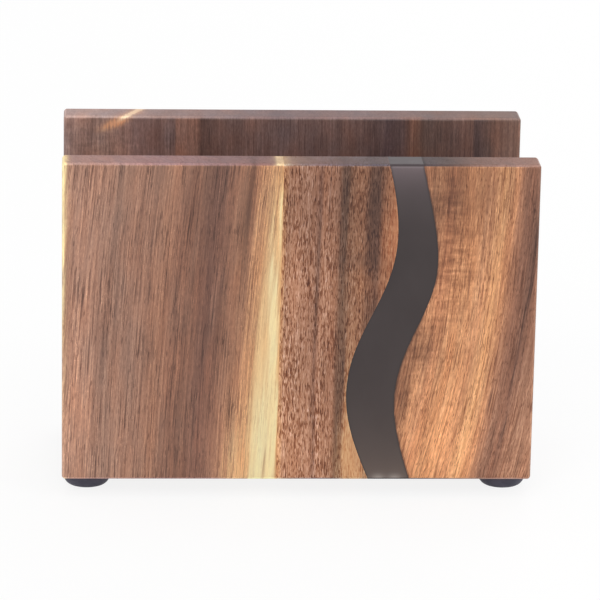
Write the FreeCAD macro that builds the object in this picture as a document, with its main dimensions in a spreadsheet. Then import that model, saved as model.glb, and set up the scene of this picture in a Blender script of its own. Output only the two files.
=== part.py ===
import FreeCAD, Part
import os

import Sketcher
from FreeCAD import Rotation, Vector

# Upright napkin holder. Two plates of edge-glued hardwood stand on either side of a base board,
# and four rubber feet carry them. The front plate holds a river of cast resin between live edges.
# Row frame: X left to right, Y front to back, Z up. The origin lies on the resting surface,
# midway between the plates. Lengths are in millimetres.

# Driving dimensions: name, value, what it measures.
SIZES = [
    ("plate_width", 165.0, "both plates and the base board, side to side"),
    ("plate_height", 114.5, "each plate, bottom edge to top edge"),
    ("plate_thickness", 12.0, "each plate, front to back"),
    ("napkin_gap", 56.0, "between the plates' inner faces"),
    ("base_thickness", 12.0, "base board, whose underside is level with the plates' bottoms"),
    ("edge_round", 1.2, "eased edges of the plates and of the base board's ends"),
    ("front_joint_bottom", -7.3, "front glue line at the bottom edge, from the middle of the plate"),
    ("front_joint_top", -6.3, "the same glue line at the top edge"),
    ("back_left_width", 40.4, "back plate, width of the board at the left side"),
    ("back_edge_width", 16.9, "back plate, width of the board at the right side"),
    ("back_joint", 32.9, "back plate, glue line right of the middle, from the middle"),
    ("cut_margin", 6.0, "how far the cutting regions reach past a plate"),
    ("dowel_radius", 3.0, "dowels between the plates and the base board"),
    ("dowel_in_plate", 7.0, "length of a dowel inside a plate"),
    ("dowel_in_base", 18.0, "length of a dowel inside the base board"),
    ("dowel_side_inset", 27.5, "outer dowels, centre to the plate's side"),
    ("dowel_fit", 0.05, "glue space round a dowel"),
    ("dowel_end_space", 0.5, "air left at each end of a dowel's hole"),
    ("foot_radius", 8.6, "rubber foot at its top"),
    ("foot_taper", 0.7, "how much smaller the radius is at the foot's underside"),
    ("foot_height", 6.4, "rubber foot, from the resting surface to the wood"),
    ("foot_bevel", 1.7, "bevel round the foot's lower rim"),
    ("foot_side_margin", 0.1, "from the foot's edge to the plate's side"),
    ("foot_joint_inset", 4.0, "foot's centre, inside the base board's long edge"),
    ("recess_radius", 3.4, "screw recess in a foot's underside"),
    ("recess_depth", 3.0, "the same recess, from the resting surface"),
    ("screw_head_radius", 2.7, "pan head of a foot's screw"),
    ("screw_head_height", 2.0, "the same head"),
    ("screw_radius", 1.4, "shank of a foot's screw"),
    ("screw_bite", 7.5, "length of the screw in the base board"),
    ("screw_tip", 2.0, "length of the screw's point"),
    ("screw_fit", 0.05, "space round the screw's shank"),
    ("screw_end_space", 0.5, "air left above the screw's point"),
    ("drive_width", 0.8, "arms of the cross recess in a screw's head"),
    ("drive_length", 3.2, "the same arms, end to end"),
    ("drive_depth", 1.1, "the same recess"),
    ("river_middle_0", 34.9, "river's middle at the lowest station, from the middle of the plate"),
    ("river_middle_1", 25.85, "the same at the stations above, evenly spread"),
    ("river_middle_2", 23.1, "its furthest swing to the left"),
    ("river_middle_3", 32.5, "halfway up"),
    ("river_middle_4", 42.5, "its furthest swing to the right"),
    ("river_middle_5", 39.55, "on its way back"),
    ("river_middle_6", 34.45, "at the highest station"),
    ("river_width_0", 13.9, "river's width at the lowest station"),
    ("river_width_1", 16.2, "the same at the stations above"),
    ("river_width_2", 17.1, "at the left swing"),
    ("river_width_3", 18.7, "halfway up, where it runs slantwise"),
    ("river_width_4", 16.0, "at the right swing"),
    ("river_width_5", 10.8, "at its narrowest"),
    ("river_width_6", 11.8, "at the highest station"),
]
STATION_COUNT = 7
SPLINE_DEGREE = 3
DOWEL_COUNT = 3  # in each plate
FULL_TURN = 360.0
HALF_TURN = 180.0  # about Z, which faces a front piece's twin to the back
SAME_HEIGHT = 0.001

doc = FreeCAD.newDocument("NapkinHolder")


# ---------------------------------------------------------------- sheet and sketch helpers
def fill_sheet():
    """Write each driving dimension to a row of the sheet and give its cell an alias."""
    sheet = doc.addObject("Spreadsheet::Sheet", "Sizes")
    for row, (name, length, note) in enumerate(SIZES, start=1):
        sheet.set(f"A{row}", name)
        sheet.set(f"B{row}", str(length))
        sheet.set(f"C{row}", note)
        sheet.setAlias(f"B{row}", name)
    doc.recompute()
    return sheet


sizes = fill_sheet()


def value(expression):
    """What an expression on the sheet's cells comes to now."""
    return float(sizes.evalExpression(expression))


def place(thing, x="0", y="0", z="0", turn=0.0):
    """Put a sub-part at expressions on the sheet, turned about Z by so many degrees."""
    thing.Placement = FreeCAD.Placement(Vector(), Rotation(Vector(0, 0, 1), turn))
    for axis, expression in (("x", x), ("y", y), ("z", z)):
        thing.setExpression(f"Placement.Base.{axis}", expression)


def sketch_on(body, role, name, lift="0"):
    """A sketch on one of the body's own origin planes, lifted off it by an expression."""
    sketch = body.newObject("Sketcher::SketchObject", name)
    plane = [feature for feature in body.Origin.OriginFeatures if feature.Role == role][0]
    sketch.AttachmentSupport = [(plane, "")]
    sketch.MapMode = "FlatFace"
    sketch.setExpression("AttachmentOffset.Base.z", lift)
    return sketch


def pin_point(sketch, geometry, point, x, y):
    """Hold a sketch point at two expressions measured from the sketch's origin."""
    for kind, expression in (("DistanceX", x), ("DistanceY", y)):
        rule = Sketcher.Constraint(kind, -1, 1, geometry, point, value(expression))
        sketch.setExpression(f"Constraints[{sketch.addConstraint(rule)}]", expression)


def draw_outline(sketch, corners):
    """A closed outline of straight lines through corners given as pairs of expressions."""
    points = [Vector(value(x), value(y), 0) for x, y in corners]
    ends = points[1:] + points[:1]
    lines = [sketch.addGeometry(Part.LineSegment(a, b), False) for a, b in zip(points, ends)]
    for line, following in zip(lines, lines[1:] + lines[:1]):
        sketch.addConstraint(Sketcher.Constraint("Coincident", line, 2, following, 1))
    for line, (x, y) in zip(lines, corners):
        pin_point(sketch, line, 1, x, y)


def draw_circle(sketch, x, y, radius):
    """A circle whose centre and radius are expressions."""
    centre = Vector(value(x), value(y), 0)
    shape = Part.Circle(centre, Vector(0, 0, 1), value(radius))
    drawn = sketch.addGeometry(shape, False)
    pin_point(sketch, drawn, 3, x, y)
    rule = Sketcher.Constraint("Radius", drawn, value(radius))
    sketch.setExpression(f"Constraints[{sketch.addConstraint(rule)}]", radius)


def draw_rectangle(sketch, left, right, low, high):
    """A rectangle between four expressions."""
    draw_outline(sketch, [(left, low), (right, low), (right, high), (left, high)])


def pad(body, name, sketch, length, both_ways=False):
    """Thicken a sketch along its normal, or evenly to both sides."""
    feature = body.newObject("PartDesign::Pad", name)
    feature.Profile = sketch
    feature.setExpression("Length", length)
    if both_ways:
        feature.SideType = "Symmetric"
    return feature


def pocket(body, name, sketch, depth, reverse=False):
    """Cut a sketch into the body, against its normal or, reversed, along it."""
    doc.recompute()
    before = body.Shape.Volume
    feature = body.newObject("PartDesign::Pocket", name)
    feature.Profile = sketch
    feature.setExpression("Length", depth)
    feature.Reversed = reverse
    doc.recompute()
    if feature.Shape.Volume >= before:
        raise RuntimeError(f"{name} removes nothing")
    return feature


def edge_names(feature, wanted):
    """Names of the feature's edges that pass the test."""
    shape = feature.Shape
    edges = enumerate(shape.Edges, start=1)
    return [f"Edge{number}" for number, edge in edges if wanted(edge, shape)]


def round_edges(body, name, base, radius, wanted):
    """Round the base feature's edges that pass the test."""
    feature = body.newObject("PartDesign::Fillet", name)
    doc.recompute()
    feature.Base = (base, edge_names(base, wanted))
    feature.setExpression("Radius", radius)
    return feature


def bevel_edges(body, name, base, size, wanted):
    """Bevel the base feature's edges that pass the test."""
    feature = body.newObject("PartDesign::Chamfer", name)
    doc.recompute()
    feature.Base = (base, edge_names(base, wanted))
    feature.setExpression("Size", size)
    return feature


def any_edge(edge, shape):
    """Every edge passes."""
    return True


def circle(edge, shape):
    """Whether the edge is a circle, not a seam or a straight line."""
    return isinstance(edge.Curve, Part.Circle)


def low_rim(edge, shape):
    """Whether the edge is the outer circle of a turned piece's lower end."""
    return circle(edge, shape) and edge.BoundBox.ZMax < shape.BoundBox.ZMin + SAME_HEIGHT


def front_to_back(edge, shape):
    """Whether the edge is a straight one along Y."""
    box = edge.BoundBox
    return box.YLength > box.XLength + box.ZLength


def new_body(name):
    """An empty body whose label names its file, if it is a sub-part."""
    body = doc.addObject("PartDesign::Body", name)
    body.Label = name
    return body


# ---------------------------------------------------------------- plates
def plate_blank(name, front):
    """A whole plate with eased edges and its dowel holes, before it is told apart into boards.

    The body's own XZ plane is the plate's inner face, and the wood lies towards -Y. The back
    plate is the same body turned round.
    """
    body = new_body(name)
    face = sketch_on(body, "XZ_Plane", f"{name}_face")
    draw_rectangle(face, "-Sizes.plate_width / 2", "Sizes.plate_width / 2", "0", "Sizes.plate_height")
    slab = pad(body, f"{name}_slab", face, "Sizes.plate_thickness")
    round_edges(body, f"{name}_eased", slab, "Sizes.edge_round", any_edge)
    dowel_holes(body, f"{name}_hole", "Sizes.dowel_in_plate + Sizes.dowel_end_space", reverse=True)
    if front:
        place(body, y="-Sizes.napkin_gap / 2", z="Sizes.foot_height")
    else:
        place(body, y="Sizes.napkin_gap / 2", z="Sizes.foot_height", turn=HALF_TURN)
    return body


def dowel_holes(body, name, depth, lift="0", reverse=False):
    """Three dowel holes, spread evenly between the side insets, halfway up the base board."""
    hole = sketch_on(body, "XZ_Plane", f"{name}_circle", lift)
    draw_circle(
        hole,
        "Sizes.dowel_side_inset - Sizes.plate_width / 2",
        "Sizes.base_thickness / 2",
        "Sizes.dowel_radius + Sizes.dowel_fit",
    )
    first = pocket(body, name, hole, depth, reverse)
    row = body.newObject("PartDesign::LinearPattern", f"{name}_row")
    row.Originals = [first]
    row.Direction = (hole, ["H_Axis"])
    row.setExpression("Length", "Sizes.plate_width - 2 * Sizes.dowel_side_inset")
    row.Occurrences = DOWEL_COUNT
    body.Tip = row


def region_left_of(name, stations, joint_face):
    """A block that holds everything left of a line through a plate.

    The line's stations are expressions for x, spread evenly from cut_margin below the plate to
    cut_margin above it. Two stations make a straight line, and more are the poles of a smooth
    curve, as a live edge has.
    """
    body = new_body(name)
    sketch = sketch_on(body, "XZ_Plane", f"{name}_outline")
    span = "(Sizes.plate_height + 2 * Sizes.cut_margin)"
    steps = len(stations) - 1
    heights = [f"{span} * {step} / {steps} - Sizes.cut_margin" for step in range(len(stations))]
    poles = [Vector(value(x), value(z), 0) for x, z in zip(stations, heights)]
    curve = Part.BSplineCurve()
    curve.buildFromPoles(poles, False, min(SPLINE_DEGREE, steps))
    bank = sketch.addGeometry(curve, False)
    sketch.exposeInternalGeometry(bank)
    for step, (x, z) in enumerate(zip(stations, heights)):
        pin_point(sketch, bank + 1 + step, 3, x, z)
    close_to_the_left(sketch, bank, poles, heights)
    pad(body, f"{name}_block", sketch, "2 * (Sizes.plate_thickness + Sizes.cut_margin)", both_ways=True)
    place(body, y=joint_face, z="Sizes.foot_height")
    return body


def close_to_the_left(sketch, bank, poles, heights):
    """Join a line's two ends by three straight lines that pass left of the plate."""
    far = "-Sizes.plate_width / 2 - Sizes.cut_margin"
    low, high = (Vector(value(far), pole.y, 0) for pole in (poles[0], poles[-1]))
    corners = [poles[-1], high, low, poles[0]]
    lines = [sketch.addGeometry(Part.LineSegment(a, b), False) for a, b in zip(corners, corners[1:])]
    top, side, bottom = lines
    sketch.addConstraint(Sketcher.Constraint("Coincident", bank, 2, top, 1))
    sketch.addConstraint(Sketcher.Constraint("Coincident", top, 2, side, 1))
    sketch.addConstraint(Sketcher.Constraint("Coincident", side, 2, bottom, 1))
    sketch.addConstraint(Sketcher.Constraint("Coincident", bottom, 2, bank, 1))
    pin_point(sketch, side, 1, far, heights[-1])
    pin_point(sketch, side, 2, far, heights[0])


def tell_apart(blank, names, regions):
    """Tell a blank apart into its pieces, from left to right, along the regions' edges."""
    pieces = []
    for order, name in enumerate(names):
        piece = blank
        if order > 0:
            piece = combine("Part::Cut", f"{name}_right_of_line", piece, regions[order - 1])
        if order < len(regions):
            piece = combine("Part::Common", f"{name}_left_of_line", piece, regions[order])
        piece.Label = name
        pieces.append(piece)
    return pieces


def combine(kind, name, base, tool):
    """One boolean of two objects."""
    result = doc.addObject(kind, name)
    result.Base = base
    result.Tool = tool
    return result


def front_plate():
    """Left board, middle board, resin river and right board, eased as one plate."""
    inner_face = "-Sizes.napkin_gap / 2"
    stations = range(STATION_COUNT)
    banks = {
        side: [f"Sizes.river_middle_{s} {sign} Sizes.river_width_{s} / 2" for s in stations]
        for side, sign in (("left", "-"), ("right", "+"))
    }
    regions = [
        region_left_of("front_glue_line", ["Sizes.front_joint_bottom", "Sizes.front_joint_top"], inner_face),
        region_left_of("river_left_bank", banks["left"], inner_face),
        region_left_of("river_right_bank", banks["right"], inner_face),
    ]
    names = ["front_left_board", "front_middle_board", "resin_river", "front_right_board"]
    return tell_apart(plate_blank("front_plate_blank", front=True), names, regions)


def back_plate():
    """Four boards glued edge to edge."""
    inner_face = "Sizes.napkin_gap / 2"
    lines = [
        ("back_left_line", "Sizes.back_left_width - Sizes.plate_width / 2"),
        ("back_middle_line", "Sizes.back_joint"),
        ("back_edge_line", "Sizes.plate_width / 2 - Sizes.back_edge_width"),
    ]
    regions = [region_left_of(name, [x, x], inner_face) for name, x in lines]
    names = ["back_left_board", "back_centre_board", "back_right_board", "back_edge_board"]
    return tell_apart(plate_blank("back_plate_blank", front=False), names, regions)


# ---------------------------------------------------------------- base board
FOOT_X = "(Sizes.plate_width / 2 - Sizes.foot_side_margin - Sizes.foot_radius)"
FOOT_Y = "(Sizes.napkin_gap / 2 - Sizes.foot_joint_inset)"


def base_board():
    """The board the napkins stand on, doweled between the plates, with the screws' pilot holes."""
    body = new_body("base_board")
    plan = sketch_on(body, "XY_Plane", "base_plan")
    draw_rectangle(
        plan,
        "-Sizes.plate_width / 2",
        "Sizes.plate_width / 2",
        "-Sizes.napkin_gap / 2",
        "Sizes.napkin_gap / 2",
    )
    slab = pad(body, "base_slab", plan, "Sizes.base_thickness")
    round_edges(body, "base_eased", slab, "Sizes.edge_round", front_to_back)
    pilots = sketch_on(body, "XY_Plane", "base_pilot_holes")
    for x_side, y_side in ((-1, -1), (1, -1), (1, 1), (-1, 1)):
        radius = "Sizes.screw_radius + Sizes.screw_fit"
        draw_circle(pilots, f"{x_side} * {FOOT_X}", f"{y_side} * {FOOT_Y}", radius)
    pocket(body, "base_pilots", pilots, "Sizes.screw_bite + Sizes.screw_end_space", reverse=True)
    depth = "Sizes.dowel_in_base + Sizes.dowel_end_space"
    dowel_holes(body, "base_front_hole", depth, "Sizes.napkin_gap / 2")
    dowel_holes(body, "base_back_hole", depth, "-Sizes.napkin_gap / 2", reverse=True)
    place(body, z="Sizes.foot_height")
    return body


# ---------------------------------------------------------------- dowels, feet, screws
def dowel(name, x, front):
    """A dowel, part in a plate and part in the base board."""
    body = new_body(name)
    end = sketch_on(body, "XZ_Plane", f"{name}_end")
    draw_circle(end, "0", "0", "Sizes.dowel_radius")
    pad(body, f"{name}_rod", end, "Sizes.dowel_in_plate + Sizes.dowel_in_base")
    height = "Sizes.foot_height + Sizes.base_thickness / 2"
    if front:
        place(body, x, "Sizes.dowel_in_base - Sizes.napkin_gap / 2", height)
    else:
        place(body, x, "Sizes.napkin_gap / 2 - Sizes.dowel_in_base", height, HALF_TURN)
    return body


def foot(name, x, y):
    """A rubber foot: a tapered disc with a bevelled lower rim and a recess for its screw."""
    body = new_body(name)
    side = sketch_on(body, "XZ_Plane", f"{name}_half_section")
    tip = "Sizes.foot_radius - Sizes.foot_taper"
    draw_outline(
        side, [("0", "0"), (tip, "0"), ("Sizes.foot_radius", "Sizes.foot_height"), ("0", "Sizes.foot_height")]
    )
    turned = revolve(body, f"{name}_turned", side)
    bevel_edges(body, f"{name}_rim", turned, "Sizes.foot_bevel", low_rim)
    recess = sketch_on(body, "XY_Plane", f"{name}_recess_plan")
    draw_circle(recess, "0", "0", "Sizes.recess_radius")
    pocket(body, f"{name}_recess", recess, "Sizes.recess_depth", reverse=True)
    bore = sketch_on(body, "XY_Plane", f"{name}_bore_plan")
    draw_circle(bore, "0", "0", "Sizes.screw_radius + Sizes.screw_fit")
    pocket(body, f"{name}_bore", bore, "Sizes.foot_height", reverse=True)
    place(body, x, y)
    return body


def revolve(body, name, sketch):
    """Turn a half section about the body's Z axis."""
    feature = body.newObject("PartDesign::Revolution", name)
    feature.Profile = sketch
    feature.ReferenceAxis = (sketch, ["V_Axis"])
    feature.Angle = FULL_TURN
    return feature


def screw(name, x, y):
    """A pan head screw, head down in the foot's recess, with a plain shank and a cross recess."""
    body = new_body(name)
    side = sketch_on(body, "XZ_Plane", f"{name}_half_section")
    shank = "(Sizes.foot_height - Sizes.recess_depth + Sizes.screw_bite)"
    draw_outline(
        side,
        [
            ("0", "-Sizes.screw_head_height"),
            ("Sizes.screw_head_radius", "-Sizes.screw_head_height"),
            ("Sizes.screw_head_radius", "0"),
            ("Sizes.screw_radius", "0"),
            ("Sizes.screw_radius", f"{shank} - Sizes.screw_tip"),
            ("0", shank),
        ],
    )
    revolve(body, f"{name}_turned", side)
    cross = sketch_on(body, "XY_Plane", f"{name}_drive_plan", lift="-Sizes.screw_head_height")
    draw_cross(cross, "Sizes.drive_length / 2", "Sizes.drive_width / 2")
    pocket(body, f"{name}_drive", cross, "Sizes.drive_depth", reverse=True)
    place(body, x, y, "Sizes.recess_depth")
    return body


def draw_cross(sketch, reach, half_width):
    """A plus sign, by how far its arms reach and half their width."""
    quarter = [(reach, f"-{half_width}"), (reach, half_width), (half_width, half_width)]
    corners = []
    for _ in range(4):
        corners += quarter
        quarter = [(f"-({y})", x) for x, y in quarter]
    draw_outline(sketch, corners)


def dowels():
    """Three dowels into each plate."""
    outer = "(Sizes.plate_width / 2 - Sizes.dowel_side_inset)"
    places = [("left", f"-{outer}"), ("middle", "0"), ("right", outer)]
    rows = (("front", True), ("back", False))
    return [dowel(f"{row}_dowel_{spot}", x, front) for row, front in rows for spot, x in places]


def feet_and_screws():
    """A foot and its screw at each corner of the base board."""
    corners = [
        ("front_left", f"-{FOOT_X}", f"-{FOOT_Y}"),
        ("front_right", FOOT_X, f"-{FOOT_Y}"),
        ("back_left", f"-{FOOT_X}", FOOT_Y),
        ("back_right", FOOT_X, FOOT_Y),
    ]
    feet = [foot(f"foot_{corner}", x, y) for corner, x, y in corners]
    return feet + [screw(f"foot_screw_{corner}", x, y) for corner, x, y in corners]


# ---------------------------------------------------------------- build, check, write
def check(nodes):
    """Stop unless every object is up to date and every sub-part is a valid solid."""
    for thing in doc.Objects:
        if "Invalid" in thing.State or "Error" in thing.State:
            raise RuntimeError(f"{thing.Label} failed: {thing.State}")
    for node in nodes:
        shape = node.Shape
        if shape.isNull() or not shape.isValid() or len(shape.Solids) != 1:
            raise RuntimeError(f"{node.Label} is not one valid solid")


def write(nodes):
    """Write each sub-part to the file that its label names."""
    os.makedirs("parts", exist_ok=True)
    for node in nodes:
        node.Shape.exportStep(f"parts/{node.Label}.step")
        print(f"{node.Label:22s} {node.Shape.Volume / 1000:9.3f} cm3  {len(node.Shape.Faces):3d} faces")


nodes = front_plate() + back_plate() + [base_board()] + dowels() + feet_and_screws()
doc.recompute()
check(nodes)
write(nodes)
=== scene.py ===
# %% [markdown]
# # An upright napkin holder with a resin river
#
# Two plates of glued boards stand on edge with a gap for napkins between them, on four round
# rubber feet. A river of smoky resin winds down the front plate between two live edges.
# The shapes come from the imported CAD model, which loads below as a fixed frame. Blender's part
# is the looks: what each board, the resin, the rubber and the steel are made of, and the light.

# %% Load the holder
import math

import bpy
from mathutils import Matrix, Vector


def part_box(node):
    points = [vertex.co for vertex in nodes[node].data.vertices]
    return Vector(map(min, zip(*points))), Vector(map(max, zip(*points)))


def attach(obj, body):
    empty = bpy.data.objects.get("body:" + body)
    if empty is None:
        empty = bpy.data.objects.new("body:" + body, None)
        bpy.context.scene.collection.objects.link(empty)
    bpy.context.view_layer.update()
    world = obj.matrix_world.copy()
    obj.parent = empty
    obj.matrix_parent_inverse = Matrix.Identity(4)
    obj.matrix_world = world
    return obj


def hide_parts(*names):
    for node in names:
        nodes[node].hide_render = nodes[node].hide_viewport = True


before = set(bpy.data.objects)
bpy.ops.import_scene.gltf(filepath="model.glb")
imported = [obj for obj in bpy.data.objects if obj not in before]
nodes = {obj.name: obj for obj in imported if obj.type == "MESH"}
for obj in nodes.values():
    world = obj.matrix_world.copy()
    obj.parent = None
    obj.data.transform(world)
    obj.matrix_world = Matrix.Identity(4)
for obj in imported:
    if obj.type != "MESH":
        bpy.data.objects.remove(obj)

MM = 1000.0  # millimetres in a metre

bpy.context.view_layer.update()
print("pieces:", len(nodes))

# %% [markdown]
# ## A small language for finishes
#
# A finish is a web of shader nodes, and wiring one by hand soon hides what it says. Here a socket
# is wrapped in a small class, so that a sum in Python adds the Math nodes that work it out, and
# every other node comes from one method. What is left reads like a recipe.


# %% Sockets that take part in sums
class Wire:
    """One output socket of a finish."""

    def __init__(self, finish, socket):
        self.finish = finish
        self.socket = socket

    def work(self, operation, first, second=0.0):
        kinds = [w.socket.type for w in (first, second) if isinstance(w, Wire)]
        family = "VectorMath" if "VECTOR" in kinds else "Math"
        return self.finish.node(family, {"operation": operation}, {0: first, 1: second})

    def __add__(self, other):
        return self.work("ADD", self, other)

    def __sub__(self, other):
        return self.work("SUBTRACT", self, other)

    def __rsub__(self, other):
        return self.work("SUBTRACT", other, self)

    def __mul__(self, other):
        return self.work("MULTIPLY", self, other)

    def __truediv__(self, other):
        return self.work("DIVIDE", self, other)

    __radd__ = __add__
    __rmul__ = __mul__


print("a wire takes part in sums with +, -, * and /")


# %% Nodes from one method
class Finish:
    """A material, or the air round the object, while it is being mixed."""

    def __init__(self, owner):
        owner.use_nodes = True
        self.owner = owner
        self.tree = owner.node_tree
        self.tree.nodes.clear()

    def node(self, kind, settings=None, sockets=None, output=0):
        made = self.tree.nodes.new("ShaderNode" + kind)
        for name, value in (settings or {}).items():
            if name == "stops":
                set_stops(made.color_ramp, value)
            else:
                setattr(made, name, value)
        for name, value in (sockets or {}).items():
            target = made.inputs[name]
            if isinstance(value, Wire):
                self.tree.links.new(value.socket, target)
            elif target.type == "VECTOR" and not hasattr(value, "__len__"):
                target.default_value = (value, value, value)
            else:
                target.default_value = value
        return Wire(self, made.outputs[output]) if made.outputs else None


def set_stops(ramp, stops):
    """Gives a ramp its stops, each a place from 0 to 1 and a colour."""
    while len(ramp.elements) > 1:
        ramp.elements.remove(ramp.elements[-1])
    ramp.elements[0].position, ramp.elements[0].color = stops[0]
    for place, colour in stops[1:]:
        ramp.elements.new(place).color = colour


print("a finish makes its nodes with node(kind, settings, sockets)")


# %% Words for places
def split(vector):
    """The three numbers of a vector."""
    x = vector.finish.node("SeparateXYZ", None, {"Vector": vector})
    return [Wire(vector.finish, socket) for socket in x.socket.node.outputs]


def join(x, y, z):
    """A vector of three numbers, the first of them a wire."""
    return x.finish.node("CombineXYZ", None, {"X": x, "Y": y, "Z": z})


def place_in(finish):
    """Where a point of the holder lies, in millimetres: X across, Y back, Z up."""
    return finish.node("TexCoord", output="Object") * MM


def middle_of(name):
    """The middle of a piece's box, in millimetres."""
    low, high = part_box(name)
    return (low + high) * (MM / 2.0)


print("middle of the river in mm:", [round(v, 1) for v in middle_of("resin_river")])


# %% Words for patches and mixtures
def cloud(place, size, detail=2.0, seed=0.0):
    """Noise from 0 to 1 whose lumps are about size millimetres along X, Y and Z."""
    inverse = tuple(1.0 / length for length in size)
    return place.finish.node(
        "TexNoise", None, {"Vector": place * inverse + seed, "Scale": 1.0, "Detail": detail}
    )


def rise(value, low, high):
    """0 below low, 1 above high and a smooth step between them; falls if low is above high."""
    return value.finish.node(
        "MapRange",
        {"interpolation_type": "SMOOTHSTEP"},
        {"Value": value, "From Min": low, "From Max": high},
    )


def falling(value):
    """1 where the value is 0, and less and less as it grows: e to the power of minus value."""
    return value.work("EXPONENT", 0.0 - value)


def patch(x, z, middle, reach, lean=0.0):
    """A soft patch of the figure: 1 in its middle, fading over reach millimetres."""
    across = (x - (z - middle[1]) * lean - middle[0]) / reach[0]
    along = (z - middle[1]) / reach[1]
    return falling(across * across + along * along)


def fade(distance, reach):
    """1 at no distance, fading to both sides over reach."""
    away = distance / reach
    return falling(away * away)


def blend(finish, factor, first, second, how="MIX"):
    """Two colours mixed; factor 0 gives the first."""
    settings = {"data_type": "RGBA", "blend_type": how}
    return finish.node("Mix", settings, {0: factor, 6: first, 7: second}, 2)


print("words: split, join, place_in, cloud, rise, falling, patch, fade, blend")


# %% The surface itself
def surfaced(finish, colour, roughness, relief, strength, depth_mm, **constants):
    """Ends a finish with its shader: relief goes into fine bumps of depth_mm at most."""
    bump = finish.node(
        "Bump", None, {"Strength": strength, "Distance": depth_mm / MM, "Height": relief}
    )
    sockets = {"Base Color": colour, "Roughness": roughness, "Normal": bump, **constants}
    shader = finish.node("BsdfPrincipled", None, sockets)
    finish.node("OutputMaterial", None, {"Surface": shader})
    print(finish.owner.name, len(finish.tree.nodes), "nodes")
    return finish.owner


# %% [markdown]
# ## Picked colours
#
# A colour picked from a lit object isn't the pigment alone: a satin surface also throws back a
# few percent of the white room at every colour. The picked colour less that share is the pigment.
# The share is the same for all of this holder's finishes, so one number serves them.

# %% Tones
POLISH = 0.035
DARKEST_PIGMENT = 0.004


def tone(red, green, blue):
    """The pigment of a colour picked from 0 to 255, without the room in its polish."""
    def pigment(level):
        level = level / 255.0
        linear = level / 12.92 if level <= 0.04045 else ((level + 0.055) / 1.055) ** 2.4
        return max(linear - POLISH, DARKEST_PIGMENT)

    return (pigment(red), pigment(green), pigment(blue), 1.0)


print("pigment of a mid brown:", [round(v, 3) for v in tone(160, 118, 98)[:3]])

# %% [markdown]
# ## Wood that is solid all the way through
#
# A board's figure is the tree's: rings laid down year by year, cut by the saw. A picture wrapped
# round each face would break at every edge, so the wood is worked out from the place in space
# instead. Stripes on the face then turn over the eased edge and run into the end grain on top.
#
# Three things make the figure. Broad tones follow the rings across the board. Streaks and fibres
# are noise drawn out along the grain. Pores are the same noise with only its peaks kept, which
# gives short dark dashes along the grain and dots on the end grain.

# %% Across the rings
MIDDLE_HEIGHT = 65.0
FRONT_FACE = -40.0
DRIFT_LUMPS = (45.0, 45.0, 70.0)

# Each noise of a board starts at a place of its own, so that their lumps don't line up.
START = {
    "drift": 0.0, "layers": 0.0, "bars": 5.0, "crowd": 11.0, "pores": 13.0, "sway": 17.0,
    "fray": 19.0, "hue": 23.0, "bank": 29.0,
}
NEXT_LAYER, NEXT_PORE = 7.0, 3.0


def across_board(place, lean, bend, ring, wander, seed):
    """Millimetres across the rings: x, but following streaks that lean, bend and wander."""
    x, y, z = split(place)
    height = z - MIDDLE_HEIGHT
    leaning = height * lean + height * height * bend
    drift = (cloud(place, DRIFT_LUMPS, 1.0, seed + START["drift"]) - 0.5) * wander
    return x - leaning + (y - FRONT_FACE) * ring + drift


def tones_across(across, stops):
    """The broad tones of a board, each a place in millimetres and a colour."""
    start, end = stops[0][0], stops[-1][0]
    ladder = [((mm - start) / (end - start), colour) for mm, colour in stops]
    share = (across - start) / (end - start)
    return across.finish.node("ValToRGB", {"stops": ladder}, {"Fac": share})


print("noises of a board:", ", ".join(START))


# %% [markdown]
# ## Streaks, fibres and pores
#
# Seen close, wood is all strokes along the grain. Layers of noise, each narrower and shorter than
# the one before, give streaks, fibres and a fine mealy ground. A pore is a vessel that the plane
# laid open: a peak of such noise with a hard edge, long where the plane followed the vessel and
# short where it crossed it. Pores stand closer in some rings than in others. Where a tree's
# fibres were wavy the light makes bars across the grain, and those are noise drawn out crosswise.

# %% Strokes along the grain
CROWD_LUMPS = (5.0, 8.0, 20.0)
CROWDING = 0.25
PORE_EDGE = 0.06
RIPPLE_LUMPS = (6.0, 9.0, 1.7)


def strokes(grain, x, z, layers, pores, bars, seed):
    """How deep the strokes are in all, and how much of a point is open pore."""
    fibres = 0.0
    for number, (wide, thick, long, deep) in enumerate(layers):
        start = seed + START["layers"] + NEXT_LAYER * number
        fibres = (cloud(grain, (wide, thick, long), 2.0, start) - 0.5) * deep + fibres
    crowd = (cloud(grain, CROWD_LUMPS, 1.0, seed + START["crowd"]) - 0.5) * CROWDING
    open_pores = 0.0
    for number, (wide, long, share, deep) in enumerate(pores):
        start = seed + START["pores"] + NEXT_PORE * number
        peaks = cloud(grain, (wide, wide, long), 1.0, start) + crowd
        pore = rise(peaks, share, share + PORE_EDGE)
        fibres = pore * deep + fibres
        if deep > 0.0:
            open_pores = pore + open_pores
    for middle, reach, deep in bars:
        ripple = cloud(grain, RIPPLE_LUMPS, 2.0, seed + START["bars"]) - 0.5
        fibres = fibres + ripple * patch(x, z, middle, reach) * deep
    return fibres, open_pores


print("pores crowd in lumps of", CROWD_LUMPS, "mm, bars in lumps of", RIPPLE_LUMPS, "mm")


# %% [markdown]
# ## Sapwood and other tints
#
# Some places aren't darker or lighter but of another wood altogether: the pale sapwood beside the
# bark, a golden patch, a vein. Each is a patch of its own tone laid over the board. Its outline
# is broken up by noise, because a colour never stops along a smooth line in wood, and inside it
# the strokes are weaker, because sapwood has less stain in its fibres.

# %% Tints
FRAY_RISES = (0.34, 0.62)
FRAY_LEAST, FRAY_MORE = 0.5, 0.7
CALM = 0.6
LEAST_LIVELY = 0.25


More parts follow.
